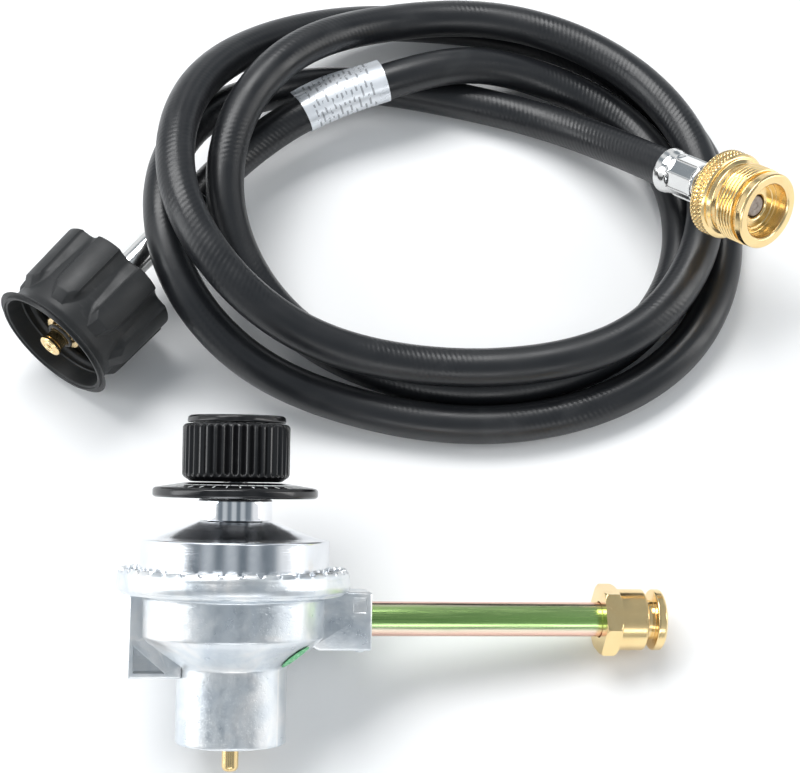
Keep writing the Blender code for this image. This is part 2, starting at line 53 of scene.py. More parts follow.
# ---- hose: the same route as the model's, in metres ----
HOSE_RADIUS = 6.35
HOSE_FLOOR = 0.0064
HOSE_RINGS = 1150
HOSE_SIDES = 40
HOSE_START_S = -41.0  # along the tank nut's axis
INTO_BELL = 2.4  # how far the rubber goes into each ferrule's bell
LABEL_FROM, LABEL_TO = 53.0, 84.0  # millimetres along the hose
LABEL_ROW = 1.8
RIB_PITCH = 1.7
ROUTE = [
    (-0.031, 0.126, 0.0175), (-0.002, 0.137, 0.0205), (0.026, 0.1455, 0.0175), (0.054, 0.144, 0.0095),
    (0.079, 0.13, 0.0065), (0.095, 0.104, 0.0064), (0.096, 0.073, 0.0064), (0.08, 0.044, 0.0064),
    (0.045, 0.026, 0.0066), (0, 0.028, 0.0068), (-0.038, 0.048, 0.013), (-0.056, 0.078, 0.027),
    (-0.053, 0.112, 0.035), (-0.037, 0.137, 0.0345), (-0.004, 0.159, 0.0235), (0.03, 0.164, 0.0196),
    (0.068, 0.151, 0.0195), (0.094, 0.125, 0.02), (0.104, 0.098, 0.0195), (0.1, 0.068, 0.019),
    (0.077, 0.038, 0.0196), (0.042, 0.026, 0.02), (0.006, 0.026, 0.0205), (-0.03, 0.033, 0.029),
    (-0.054, 0.049, 0.0395), (-0.07, 0.077, 0.0458), (-0.071, 0.107, 0.043), (-0.053, 0.145, 0.027),
    (-0.017, 0.166, 0.014), (0.016, 0.17, 0.008), (0.05, 0.165, 0.0064), (0.083, 0.147, 0.0064),
    (0.104, 0.12, 0.0064), (0.112, 0.091, 0.0064), (0.109, 0.064, 0.0064), (0.094, 0.037, 0.0064),
    (0.061, 0.0165, 0.0064), (0.024, 0.011, 0.0066), (-0.016, 0.017, 0.009), (-0.048, 0.029, 0.018),
    (-0.071, 0.054, 0.03), (-0.077, 0.086, 0.0332), (-0.068, 0.116, 0.0256), (-0.05, 0.134, 0.0155),
    (-0.022, 0.144, 0.008), (0.014, 0.14, 0.0066), (0.056, 0.126, 0.0088),
]

# ---- tank nut ----
NUT_PADS = 8
NUT_RADIUS = 22.4
NUT_LENGTH = 32.0
NUT_BORE = 17.6
STEM_RADIUS = 5.15
PROBE_TIP = 32.8

# ---- connector ----
NECK_RADIUS = 4.6
KNURL_RADIUS = 14.3
KNURL_TEETH = 60
THREAD_RADIUS = 12.7
THREAD_PITCH = 1.27
LIP_S = 45.0
CONNECTOR_BORE = 8.9
SWIVEL_S = 24.0  # where the record puts the swivel's joint

# ---- regulator ----
INLET_RADIUS = 16.2
SOCKET_RADIUS = 12.8
FLANGE_RADIUS = 34.5
CRIMPS = 38
SLEEVE_RADIUS = 11.0
SKIRT_RADIUS = 24.4
SKIRT_RIM, SKIRT_TOP = (23.8, 74.7), (14.5, 76.2)  # ends of its sloping face
KNOB_RADIUS = 15.9
KNOB_FLUTES = 40
SPINDLE_RADIUS = 3.6
TUBE_RADIUS = 5.15
TUBE_S = 36.3
KNOB_JOINT_S = 72.0  # where the record puts the knob's joint
HEX_FROM, HEX_TO = 111.0, 116.0
HEX_FLAT = 9.65  # half the width across flats
HEX_TURN = 43.0
FITTING_RADIUS = 9.25
HEAD_X = 130.3
FUNNEL_LOW, FUNNEL_TOP, FUNNEL_RADIUS = 22.6, 30.0, 26.0
STICKER_S = 26.3
STICKER_ANGLE = -36.0

# ---- camera, in metres ----
CAMERA_PLACE = (0.001, -0.2175, 0.510)
CAMERA_TILT = 25.7
LENS, SENSOR = 76.5, 36
FLOOR_REACH = 4.0


# ---- places, from the frame ----


def axes(place, axis, side, back):
    """Local frame with +Z along an axis and +X as near as can be to side.

    Its origin lies back millimetres behind the place.
    """
    z = Vector(axis).normalized()
    x = (Vector(side) - z * z.dot(Vector(side))).normalized()
    turn = Matrix((x, z.cross(x), z)).transposed().to_4x4()
    return Matrix.Translation(Vector(place) - z * back * MM) @ turn


def joint_axes(name, side=(0, 0, -1), back=0.0):
    joint = next(j for j in frame["joints"] if j["name"] == name)
    return axes(joint["pos_m"], joint["axis"], side, back)


def mount_axis(name):
    return next(m["axis"] for m in frame["record"]["mounts"] if m["name"] == name)


NUT = joint_axes("nut_spin")
CONNECTOR = joint_axes("connector_swivel", back=SWIVEL_S)
REGULATOR = joint_axes("knob_turn", mount_axis("outlet_head_face"), KNOB_JOINT_S)
OUTLET = (
    REGULATOR @ Matrix.Translation((0, 0, TUBE_S * MM)) @ Matrix.Rotation(math.pi / 2, 4, "Y")
    @ Matrix.Rotation(math.radians(HEX_TURN), 4, "Z")
)


# ---- finishes ----


def fill_ramp(points, stops):
    while len(points) < len(stops):
        points.new(0.5)
    for point, (at, colour) in zip(points, stops):
        point.position = at
        point.color = (*colour, 1.0)


class Finish:
    """A Principled material whose patterns are added step by step."""

    def __init__(self, slot, colour, metallic=0.0, roughness=0.5, name=None):
        self.made = bpy.data.materials.new(name or slot + "_finish")
        self.made.use_nodes = True
        self.made["slot"] = slot
        self.tree = self.made.node_tree
        self.shader = self.tree.nodes["Principled BSDF"]
        self.set("Base Color", (*colour, 1.0))
        self.set("Metallic", metallic)
        self.set("Roughness", roughness)

    def put(self, socket, value):
        if isinstance(value, bpy.types.NodeSocket):
            self.tree.links.new(value, socket)
        else:
            socket.default_value = value

    def set(self, socket, value):
        self.put(self.shader.inputs[socket], value)

    def node(self, kind, inputs=(), **settings):
        made = self.tree.nodes.new("ShaderNode" + kind)
        for key, value in settings.items():
            setattr(made, key, value)
        for key, value in dict(inputs).items():
            self.put(made.inputs[key], value)
        return made

    def place(self):
        """Position within the piece's own frame."""
        return self.node("Attribute", attribute_name="spot").outputs["Vector"]

    def wrap(self):
        """Coordinates along and round a swept piece."""
        return self.node("UVMap", uv_map="wrap").outputs["UV"]

    def parts(self, vector):
        return self.node("SeparateXYZ", {"Vector": vector}).outputs

    def maths(self, operation, *values):
        return self.node("Math", dict(enumerate(values)), operation=operation).outputs[0]

    def times(self, *values):
        return self.maths("MULTIPLY", *values)

    def scaled(self, vector, scale):
        return self.node("VectorMath", {0: vector, 1: scale}, operation="MULTIPLY").outputs[0]

    def lathe(self, across, along):
        """Coordinates that change only with radius and height, for marks that run round a turned piece."""
        x, y, z = self.parts(self.place())
        flat = self.node("CombineXYZ", {"X": x, "Y": y}).outputs[0]
        radius = self.node("VectorMath", {0: flat}, operation="LENGTH").outputs["Value"]
        return self.node(
            "CombineXYZ", {"X": self.times(radius, across), "Y": self.times(z, along)}
        ).outputs[0]

    def noise(self, vector, scale, detail=3.0, distortion=0.0):
        found = {"Vector": vector, "Scale": scale, "Detail": detail, "Distortion": distortion}
        return self.node("TexNoise", found).outputs["Fac"]

    def spread(self, value, low, high, to_low=0.0, to_high=1.0):
        """Map a range of a value onto another range, clamped."""
        found = {0: value, 1: low, 2: high, 3: to_low, 4: to_high}
        return self.node("MapRange", found).outputs[0]

    def mix(self, share, first, second):
        made = self.node("Mix", data_type="RGBA")
        for socket, value in ((made.inputs[0], share), (made.inputs[6], first), (made.inputs[7], second)):
            if isinstance(value, tuple):
                value = (*value, 1.0)
            self.put(socket, value)
        return made.outputs[2]

    def ramp(self, value, stops):
        made = self.node("ValToRGB", {0: value})
        fill_ramp(made.color_ramp.elements, stops)
        return made.outputs[0]

    def bump(self, height, depth, under=None):
        """Relief of a depth in millimetres for heights from 0 to 1."""
        found = {"Height": height, "Distance": depth * MM, "Strength": 1.0}
        if under is not None:
            found["Normal"] = under
        return self.node("Bump", found).outputs["Normal"]

    def paint(self, share, first, second):
        self.set("Base Color", self.mix(share, first, second))

    def roughen(self, pattern, low, high):
        self.set("Roughness", self.spread(pattern, 0.3, 0.7, low, high))

    def relief(self, *layers):
        self.set("Normal", self.bump(*layers))

    def edges(self, low=0.53, high=0.62):
        """1 on convex edges, where handling wears a piece."""
        return self.spread(self.node("NewGeometry").outputs["Pointiness"], low, high)


def hose_rubber():
    finish = Finish("hose_rubber", (0.010, 0.011, 0.013))
    along, around, _ = finish.parts(finish.wrap())
    place = finish.place()
    # The braid under the cover shows through as fine slanting ribs.
    turn = finish.times(around, TAU * 9)
    step = finish.times(along, TAU / RIB_PITCH)
    rib = finish.maths("SINE", finish.maths("ADD", step, turn))
    cross = finish.maths("SINE", finish.maths("SUBTRACT", finish.times(step, 0.5), turn))
    patchy = finish.spread(finish.noise(place, 26, 2), 0.42, 0.62)
    braid = finish.times(finish.maths("ADD", rib, finish.times(cross, 0.3)), patchy)
    grain = finish.noise(place, 2600, 2)
    dust = finish.spread(finish.noise(place, 60, 5, 0.8), 0.58, 0.8)
    finish.paint(dust, (0.010, 0.011, 0.013), (0.022, 0.023, 0.025))
    finish.roughen(finish.noise(place, 90, 4), 0.28, 0.42)
    finish.relief(braid, 0.02, finish.bump(grain, 0.012))
    return finish.made


def label_foil():
    finish = Finish("label_foil", (0.8, 0.83, 0.87), 0.4, 0.3)
    along, around, _ = finish.parts(finish.wrap())
    page = finish.node("CombineXYZ", {"X": around, "Y": along}).outputs[0]
    bars = finish.node(
        "TexBrick",
        {"Vector": page, "Color1": (1, 1, 1, 1), "Color2": (1, 1, 1, 1), "Mortar": (0, 0, 0, 1), "Scale": 1.0,
         "Mortar Size": 0.012, "Mortar Smooth": 0.1, "Brick Width": 0.07, "Row Height": LABEL_ROW},
    ).outputs[0]
    row = finish.maths("FRACT", finish.maths("DIVIDE", along, LABEL_ROW))
    lines = finish.maths("LESS_THAN", row, 0.4)
    words = finish.maths("GREATER_THAN", finish.noise(finish.scaled(page, (60, 0.56, 1)), 1.0, 0), 0.42)
    margins = (("GREATER_THAN", along, 3.5), ("LESS_THAN", along, 26), ("COMPARE", around, 0.5, 0.36))
    ink = bars
    for mask in (lines, words, *(finish.maths(*margin) for margin in margins)):
        ink = finish.times(ink, mask)
    sheen = finish.noise(finish.place(), 120, 3)
    paper = finish.mix(sheen, (0.74, 0.78, 0.83), (0.88, 0.9, 0.93))
    finish.paint(finish.times(ink, 0.7), paper, (0.2, 0.21, 0.23))
    finish.roughen(sheen, 0.22, 0.4)
    finish.relief(finish.noise(finish.place(), 260, 2), 0.12)
    return finish.made


def moulded_plastic(slot, name, low, high, colour=(0.010, 0.011, 0.012), wear=0.028, grain_depth=0.02):
    """Black moulded plastic with a fine spark-eroded grain, handling marks and paler worn edges."""
    finish = Finish(slot, colour, name=name)
    place = finish.place()
    grain = finish.noise(place, 3200, 3)
    scuffs = finish.spread(finish.noise(finish.scaled(place, (1, 1, 4)), 160, 5, 1.2), 0.6, 0.72)
    worn = finish.times(finish.edges(), finish.spread(finish.noise(place, 300, 4), 0.35, 0.65))
    marked = finish.maths("MAXIMUM", worn, finish.times(scuffs, 0.45))
    finish.paint(marked, colour, (wear, wear * 1.02, wear * 1.05))
    finish.roughen(finish.noise(place, 110, 4), low, high)
    finish.relief(grain, grain_depth, finish.bump(scuffs, 0.012))
    return finish.made


def turned_metal(slot, name, colour, tarnish, low, high, lines=0.006, mottle=0.25):
    """Machined metal: fine tool marks round the axis and faint tarnish blotches."""
    finish = Finish(slot, colour, 1.0, name=name)
    place = finish.place()
    marks = finish.noise(finish.lathe(9000, 9000), 1.0, 2)
    bands = finish.noise(finish.lathe(900, 900), 1.0, 2)
    blotch = finish.spread(finish.noise(place, 130, 5, 0.6), 0.4, 0.75)
    finish.paint(finish.times(blotch, mottle), colour, tarnish)
    rough = finish.maths("ADD", finish.times(marks, 0.5), finish.times(blotch, 0.5))
    finish.set("Roughness", finish.spread(rough, 0.2, 0.8, low, high))
    finish.relief(marks, lines, finish.bump(bands, lines * 0.5))
    return finish.made


def cast_zinc():
    """Bright die casting: cloudy spangle, slightly wavy skin, fine pits and greyer patches stretched along
    the axis.
    """
    finish = Finish("cast_zinc", (0.72, 0.75, 0.78), 1.0)
    place = finish.place()
    cloud = finish.noise(place, 75, 5, 1.0)
    spangle = finish.noise(place, 420, 3, 0.5)
    pits = finish.spread(finish.noise(place, 1900, 2), 0.3, 0.42)
    stain = finish.spread(finish.noise(finish.scaled(place, (1, 1, 0.4)), 150, 4, 1.5), 0.45, 0.72)
    base = finish.ramp(cloud, [
        (0.3, (0.66, 0.71, 0.76)), (0.5, (0.78, 0.81, 0.83)), (0.7, (0.88, 0.87, 0.86)),
    ])
    base = finish.mix(finish.times(stain, 0.3), base, (0.52, 0.57, 0.63))
    base = finish.mix(finish.times(finish.edges(0.52, 0.6), 0.6), base, (0.93, 0.93, 0.92))
    finish.set("Base Color", base)
    rough = finish.maths("ADD", finish.times(cloud, 0.5), finish.times(spangle, 0.5))
    finish.set("Roughness", finish.spread(rough, 0.35, 0.65, 0.27, 0.42))
    wavy = finish.bump(finish.noise(place, 180, 3), 0.1)
    finish.relief(pits, 0.02, finish.bump(spangle, 0.03, wavy))
    return finish.made


def yellow_zinc_painted_sheen():
    """Yellow-chromated plating whose colour is painted by which way the surface faces round the tube: green
    on top and pink at the sides are a painted sheen that stands in for the thin film's colour shift with the
    angle of view, and a narrow dark band is a painted reflection.
    """
    finish = Finish("yellow_zinc_plate", (0.5, 0.62, 0.3), 1.0, 0.24)
    x, y, _ = finish.parts(finish.place())
    angle = finish.maths("ARCTAN2", y, x)
    wander = finish.times(finish.noise(finish.scaled(finish.place(), (1, 1, 0.15)), 300, 3), 0.12)
    shift = finish.maths("ADD", wander, 0.18)
    # Painted sheen: the place round the tube picks the colour, pink and green for the film's shift with
    # viewing angle, and the dark stop at 0.13 is a painted reflection of a dark stripe.
    film = finish.maths("FRACT", finish.maths("ADD", finish.maths("DIVIDE", angle, math.pi), shift))
    base = finish.ramp(film, [
        (0.0, (0.84, 0.46, 0.38)), (0.1, (0.88, 0.56, 0.46)), (0.13, (0.3, 0.28, 0.18)),
        (0.17, (0.88, 0.82, 0.62)), (0.25, (0.50, 0.72, 0.28)), (0.5, (0.36, 0.64, 0.18)),
        (0.63, (0.52, 0.72, 0.34)), (0.70, (0.92, 0.80, 0.64)), (0.80, (0.92, 0.58, 0.48)),
    ])
    drawn = finish.noise(finish.scaled(finish.place(), (4000, 4000, 60)), 1.0, 2)
    finish.paint(finish.spread(drawn, 0.4, 0.8, 0.0, 0.25), base, (0.35, 0.36, 0.22))
    finish.roughen(drawn, 0.16, 0.3)
    finish.relief(drawn, 0.006)
    return finish.made


def soft_rubber(slot, name, colour, paler):
    finish = Finish(slot, colour, 0.0, 0.6, name=name)
    place = finish.place()
    bloom = finish.spread(finish.noise(place, 500, 4), 0.35, 0.7)
    finish.paint(bloom, colour, paler)
    finish.roughen(finish.noise(place, 900, 3), 0.5, 0.72)
    finish.relief(finish.noise(place, 4000, 2), 0.02)
    return finish.made


def sticker_green():
    finish = Finish("green_sticker", (0.12, 0.55, 0.22), 0.0, 0.4)
    place = finish.place()
    print_marks = finish.noise(finish.scaled(place, (1, 1, 3)), 900, 2)
    faded = finish.mix(finish.spread(print_marks, 0.45, 0.6), (0.08, 0.46, 0.17), (0.34, 0.74, 0.42))
    finish.set("Base Color", faded)
    finish.roughen(finish.noise(place, 1500, 2), 0.3, 0.5)
    finish.relief(finish.noise(place, 700, 2), 0.03)
    return finish.made


RUBBER = hose_rubber()
FOIL = label_foil()
BLACK = moulded_plastic("black_plastic", "nut_plastic", 0.42, 0.6)
BUSH = moulded_plastic("bushing_plastic", "bushing_plastic_finish", 0.4, 0.55)
GLOSS = moulded_plastic("gloss_black_plastic", "knob_plastic", 0.14, 0.26, (0.007, 0.007, 0.008), 0.02, 0.004)
MARKS = moulded_plastic("gloss_black_plastic", "dial_print", 0.4, 0.55, (0.72, 0.72, 0.7), 0.85, 0.006)
BRASS = turned_metal("brass", "brass_turned", (0.92, 0.70, 0.36), (0.82, 0.54, 0.22), 0.14, 0.3)
NICKEL = turned_metal(
    "nickel_plate", "nickel_bright", (0.80, 0.80, 0.79), (0.62, 0.60, 0.58), 0.1, 0.22, 0.004
)
CHROME = turned_metal(
    "chrome_plate", "chrome_polished", (0.86, 0.87, 0.89), (0.72, 0.74, 0.78), 0.05, 0.12, 0.002
)
STEEL = turned_metal("spring_steel", "steel_bright", (0.56, 0.56, 0.57), (0.38, 0.36, 0.33), 0.22, 0.38)
ZINC = cast_zinc()
# Plating with a painted sheen and a painted dark reflection band round the tube.
PLATED_PAINTED_SHEEN = yellow_zinc_painted_sheen()
BEIGE = soft_rubber("seal_rubber", "valve_rubber", (0.30, 0.25, 0.22), (0.46, 0.41, 0.37))
DARK = soft_rubber("diaphragm_rubber", "diaphragm_rubber_finish", (0.02, 0.02, 0.02), (0.045, 0.045, 0.045))
GREEN = sticker_green()
DARK_SEAL = soft_rubber("seal_rubber", "seal_rubber_finish", (0.03, 0.03, 0.03), (0.06, 0.06, 0.06))
ZINC_POLISHED = turned_metal(
    "cast_zinc", "zinc_polished", (0.80, 0.82, 0.85), (0.62, 0.66, 0.72), 0.1, 0.24, 0.01, 0.4
)


# ---- making pieces ----


def linked(name, data):
    item = bpy.data.objects.new(name, data)
    bpy.context.scene.collection.objects.link(item)
    return item


def finished(mesh, name, place, finish, body, stands_for=(), sharp=38.0):
    """Put a mesh in millimetres in place as a piece of the object."""
    mesh.transform(Matrix.Scale(MM, 4))
    spots = np.empty(len(mesh.vertices) * 3, np.float32)
    mesh.vertices.foreach_get("co", spots)
    mesh.attributes.new("spot", "FLOAT_VECTOR", "POINT").data.foreach_set("vector", spots)
    mesh.transform(place)
    mesh.shade_smooth()
    mesh.set_sharp_from_angle(angle=math.radians(sharp))
    mesh.materials.clear()
    mesh.materials.append(finish)
    item = linked(name, mesh)
    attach(item, body)
    if stands_for:
        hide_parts(*stands_for)
    return item


def mesh_of(bm, name):
    bmesh.ops.recalc_face_normals(bm, faces=bm.faces)
    mesh = bpy.data.meshes.new(name)
    bm.to_mesh(mesh)
    bm.free()
    return mesh


def skin(name, rows, ring_closed=True, wrap=None):
    """Closed mesh over rows of points, each a loop; the last row joins the first if ring_closed."""
    rows = np.asarray(rows, float)
    count, sides = rows.shape[:2]
    faces = []
    for i in range(count if ring_closed else count - 1):
        j = (i + 1) % count
        for k in range(sides):
            m = (k + 1) % sides
            faces.append((i * sides + k, i * sides + m, j * sides + m, j * sides + k))
    if not ring_closed:
        faces.append(tuple(range(sides)))
        faces.append(tuple((count - 1) * sides + k for k in range(sides)))
    mesh = bpy.data.meshes.new(name)
    mesh.from_pydata(rows.reshape(-1, 3).tolist(), [], faces)
    if wrap is not None:
        layer = mesh.uv_layers.new(name="wrap")
        spots = []
        for i in range(count - 1):
            for k in range(sides):
                for row, side in ((i, k), (i, k + 1), (i + 1, k + 1), (i + 1, k)):
                    spots.append((wrap[row], side / sides))
        spots += [(0.0, 0.0)] * (len(mesh.loops) - len(spots))
        layer.data.foreach_set("uv", np.array(spots, np.float32).ravel())
    bm = bmesh.new()
    bm.from_mesh(mesh)
    bpy.data.meshes.remove(mesh)
    bmesh.ops.remove_doubles(bm, verts=bm.verts, dist=1e-5)
    return mesh_of(bm, name)


def filleted(points, radius, steps=3):
    """Outline with its corners rounded; points on the axis stay, and short sides take a smaller round."""
    points = [np.array(p[:2], float) for p in points]
    count = len(points)
    out = []
    for i, corner in enumerate(points):
        before, after = points[i - 1], points[(i + 1) % count]
        if corner[0] == 0:
            out.append(corner)
            continue
        one, two = before - corner, after - corner
        reach = min(radius, 0.45 * np.linalg.norm(one), 0.45 * np.linalg.norm(two))
        start = corner + one / np.linalg.norm(one) * reach
        stop = corner + two / np.linalg.norm(two) * reach
        for k in range(steps + 1):
            t = k / steps
            out.append(start * (1 - t) ** 2 + corner * 2 * t * (1 - t) + stop * t * t)
    return out


def dense(points, step):
    """The same closed outline with points at most a step apart."""
    out = []
    for i, start in enumerate(points):
        stop = points[(i + 1) % len(points)]
        parts = max(1, int(np.ceil(np.linalg.norm(stop - start) / step)))
        if start[0] == 0 and stop[0] == 0:
            parts = 1
        out += [start + (stop - start) * k / parts for k in range(parts)]
    return out


def turned_mesh(name, outline, segments=96, soften=0.3, step=None, shape=None):
    """Solid of revolution from (radius, s) points; shape(angles, radius, s) may change each ring."""
    points = filleted(outline, soften)
    if step:
        points = dense(points, step)
    angles = np.linspace(0, TAU, segments, endpoint=False)
    rows = []
    for radius, height in points:
        radii, heights = np.full(segments, radius), np.full(segments, height)
        if shape and radius:
            radii, heights = shape(angles, radii, heights)
        rows.append(np.stack([radii * np.cos(angles), radii * np.sin(angles), heights], axis=-1))
    touches_axis = outline[0][0] == 0 and outline[-1][0] == 0
    return capless(name, rows) if touches_axis else skin(name, rows)


def capless(name, rows):
    """Skin whose first and last rows are points on the axis."""
    rows = np.asarray(rows, float)
    sides = rows.shape[1]
    bm = bmesh.new()
    rings = []
    for row in rows:
        if np.ptp(row, axis=0).max() < 1e-6:
            rings.append([bm.verts.new(row[0])])
        else:
            rings.append([bm.verts.new(p) for p in row])
    for lower, upper in zip(rings, rings[1:]):
        for k in range(sides):
            m = (k + 1) % sides
            if len(lower) == 1 and len(upper) == 1:
                break
            if len(lower) == 1:
                bm.faces.new((lower[0], upper[k], upper[m]))
            elif len(upper) == 1:
                bm.faces.new((lower[k], lower[m], upper[0]))
            else:
                bm.faces.new((lower[k], lower[m], upper[m], upper[k]))
    return mesh_of(bm, name)


def turned(name, outline, place, finish, body, segments=96, soften=0.3, step=None, shape=None, sharp=38.0):
    """Fine version of a turned CAD node of the same name."""
    mesh = turned_mesh(name + "_fine", outline, segments, soften, step, shape)
    return finished(mesh, name + "_fine", place, finish, body, [name], sharp)


def block(outline, low, high, bevel=0.5):
    """Flat outline of (x, s) points, extruded along local Y, with rounded edges; a temporary object."""
    bm = bmesh.new()
    face = bm.faces.new([bm.verts.new((x, low, s)) for x, s in outline])
    moved = bmesh.ops.extrude_face_region(bm, geom=[face])["geom"]
    tops = [v for v in moved if isinstance(v, bmesh.types.BMVert)]
    bmesh.ops.translate(bm, vec=(0, high - low, 0), verts=tops)
    if bevel:
        bmesh.ops.bevel(bm, geom=bm.edges[:], offset=bevel, segments=3, affect="EDGES", profile=0.5)
    return mesh_of(bm, "block")


def combined(mesh, steps):
    """A mesh after exact Booleans with (operation, other mesh) steps."""
    item = linked("work", mesh)
    tools = []
    for operation, other in steps:
        tool = linked("tool", other)
        tools.append(tool)
        change = item.modifiers.new("step", "BOOLEAN")
        change.solver = "EXACT"
        change.operation = operation
        change.object = tool
    seen = item.evaluated_get(bpy.context.evaluated_depsgraph_get())
    result = bpy.data.meshes.new_from_object(seen)
    for used in [item, *tools]:
        data = used.data
        bpy.data.objects.remove(used)
        bpy.data.meshes.remove(data)
    return result


def distances(path):
    """Length travelled along a path at each of its points."""
    return np.concatenate([[0], np.cumsum(np.linalg.norm(np.diff(path, axis=0), axis=1))])


def smooth_curve(points, samples):
    """Natural cubic spline through the points, read at even steps along its length."""
    points = np.asarray(points, float)
    span = np.linalg.norm(np.diff(points, axis=0), axis=1)
    count = len(points)
    matrix = np.eye(count)
    bend = np.zeros((count, 3))
    for i in range(1, count - 1):
        matrix[i, i - 1:i + 2] = (span[i - 1], 2 * (span[i - 1] + span[i]), span[i])
        bend[i] = 6 * ((points[i + 1] - points[i]) / span[i] - (points[i] - points[i - 1]) / span[i - 1])
    second = np.linalg.solve(matrix, bend)
    fine = []
    for i in range(count - 1):
        done = np.linspace(0, span[i], 40, endpoint=False)[:, None]
        left = span[i] - done
        curved = (second[i] * left**3 + second[i + 1] * done**3) / (6 * span[i])
        start = (points[i] / span[i] - second[i] * span[i] / 6) * left
        stop = (points[i + 1] / span[i] - second[i + 1] * span[i] / 6) * done
        fine.append(curved + start + stop)
    fine = np.vstack([*fine, points[-1:]])
    travelled = distances(fine)
    wanted = np.linspace(0, travelled[-1], samples)
    return np.stack([np.interp(wanted, travelled, fine[:, k]) for k in range(3)], axis=-1)


def unit(vectors):
    return vectors / np.linalg.norm(vectors, axis=1)[:, None]


def level_frames(path):
    """Directions across a path: level sideways, and up."""
    ahead = unit(np.gradient(path, axis=0))
    side = unit(np.cross(ahead, (0.0, 0.0, 1.0)))
    return side, np.cross(side, ahead)


def swept_rows(path, frames, section):
    """Rows of points: a section of (sideways, up) offsets carried along a path."""
    side, up = frames
    section = np.asarray(section, float)
    return path[:, None] + section[None, :, 0, None] * side[:, None] + section[None, :, 1, None] * up[:, None]


def round_section(radius, sides):
    turn = np.linspace(0, TAU, sides, endpoint=False)
    return np.stack([radius * np.cos(turn), radius * np.sin(turn)], axis=-1)


def spring(name, radius, wire, low, high, turns, place, body):
    """Fine version of a helical spring."""
    steps = int(turns * 40)
    angle = np.linspace(0, TAU * turns, steps + 1)
    height = np.linspace(low + wire, high - wire, steps + 1)
    path = np.stack([radius * np.cos(angle), radius * np.sin(angle), height], axis=-1)
    out = np.stack([np.cos(angle), np.sin(angle), np.zeros(steps + 1)], axis=-1)
    ahead = unit(np.gradient(path, axis=0))
    rows = swept_rows(path, (out, np.cross(ahead, out)), round_section(wire, 14))
    mesh = skin(name + "_fine", rows, ring_closed=False)
    return finished(mesh, name + "_fine", place, STEEL, body, [name])


def ring(mean, minor, height, points=16):
    """Round section of an O-ring."""
    turn = [TAU * k / points for k in range(points)]
    return [(mean + minor * math.cos(a), height + minor * math.sin(a)) for a in turn]


def saw(phase):
    """0 at whole phases and 1 halfway between them."""
    return 1 - np.abs(2 * (phase % 1.0) - 1)


def ease(value):
    value = np.clip(value, 0, 1)
    return value * value * (3 - 2 * value)


def faded(s, low, high, rise, fall):
    """1 between two heights, easing in and out over the lengths rise and fall."""
    return ease((s - low) / rise) * ease((high - s) / fall)


# ---- camera, lights and floor ----


def build_studio():
    scene = bpy.context.scene
    view = bpy.data.cameras.new("camera")
    view.lens = LENS
    view.sensor_width = SENSOR
    camera = linked("camera", view)
    camera.location = CAMERA_PLACE
    camera.rotation_euler = (math.radians(CAMERA_TILT), 0, 0)
    scene.camera = camera
    scene.view_settings.view_transform = "Standard"

    floor_mesh = bpy.data.meshes.new("floor")
    corners = [(x * FLOOR_REACH, y * FLOOR_REACH, 0) for x, y in ((-1, -1), (1, -1), (1, 1), (-1, 1))]
    floor_mesh.from_pydata(corners, [], [(0, 1, 2, 3)])
    floor = linked("floor", floor_mesh)
    paint = Finish("floor", (0.93, 0.93, 0.93), 0.0, 0.7)
    paint.set("Specular IOR Level", 0.15)
    floor_mesh.materials.append(paint.made)

    for name, place, size, watts, colour in (
        ("key", (-0.3, 0.55, 1.0), (1.0, 0.5), 12, (1, 1, 1)),
        ("front", (0.1, -1.1, 0.55), (1.0, 0.25), 2.2, (1, 1, 1)),
        ("left", (-1.0, -0.1, 0.45), (0.3, 1.0), 3.6, (0.97, 0.99, 1)),
        ("right", (1.0, 0.0, 0.4), (0.25, 1.0), 3.0, (1, 0.99, 0.97)),
    ):
        lamp = bpy.data.lights.new(name, "AREA")
        lamp.shape = "RECTANGLE"
        lamp.size, lamp.size_y = size
        lamp.energy = watts
        lamp.color = colour
        item = linked(name, lamp)
        item.location = place
        item.rotation_euler = (Vector(place) - Vector((0, 0.03, 0))).to_track_quat("Z", "Y").to_euler()

    # A studio: upright bright panels with dark gaps between them, under a dim ceiling.
    world = bpy.data.worlds.new("studio")
    world.use_nodes = True
    scene.world = world
    tree = world.node_tree
    heading = tree.nodes.new("ShaderNodeTexCoord").outputs["Generated"]
    split = tree.nodes.new("ShaderNodeSeparateXYZ")
    tree.links.new(heading, split.inputs[0])
    shades = []
    for axis, low, stops in (
        (0, -1.0, (
            (0.0, 0.8), (0.08, 0.85), (0.14, 0.3), (0.2, 0.28), (0.25, 0.85), (0.31, 0.8), (0.37, 0.3),
            (0.43, 0.35), (0.48, 0.85), (0.56, 0.8), (0.6, 0.3), (0.66, 0.26), (0.71, 0.8), (0.77, 0.75),
            (0.82, 0.26), (0.9, 0.28), (0.95, 0.8),
        )),
        (2, 0.0, ((0.0, 1.0), (0.45, 1.0), (0.75, 0.62), (1.0, 0.62))),
    ):
        span = tree.nodes.new("ShaderNodeMapRange")
        span.inputs["From Min"].default_value = low
        tree.links.new(split.outputs[axis], span.inputs["Value"])
        bands = tree.nodes.new("ShaderNodeValToRGB")
        fill_ramp(bands.color_ramp.elements, [(at, (grey ** 1.1, grey, grey ** 0.92)) for at, grey in stops])
        tree.links.new(span.outputs[0], bands.inputs[0])
        shades.append(bands.outputs[0])
    shaded = tree.nodes.new("ShaderNodeVectorMath")
    shaded.operation = "MULTIPLY"
    for shade, socket in zip(shades, shaded.inputs):
        tree.links.new(shade, socket)
    sky = tree.nodes["Background"]
    tree.links.new(shaded.outputs[0], sky.inputs["Color"])
    sky.inputs["Strength"].default_value = 1.1


# ---- hose ----


def on_axis(place, distance):
    return place @ Vector((0, 0, distance * MM))


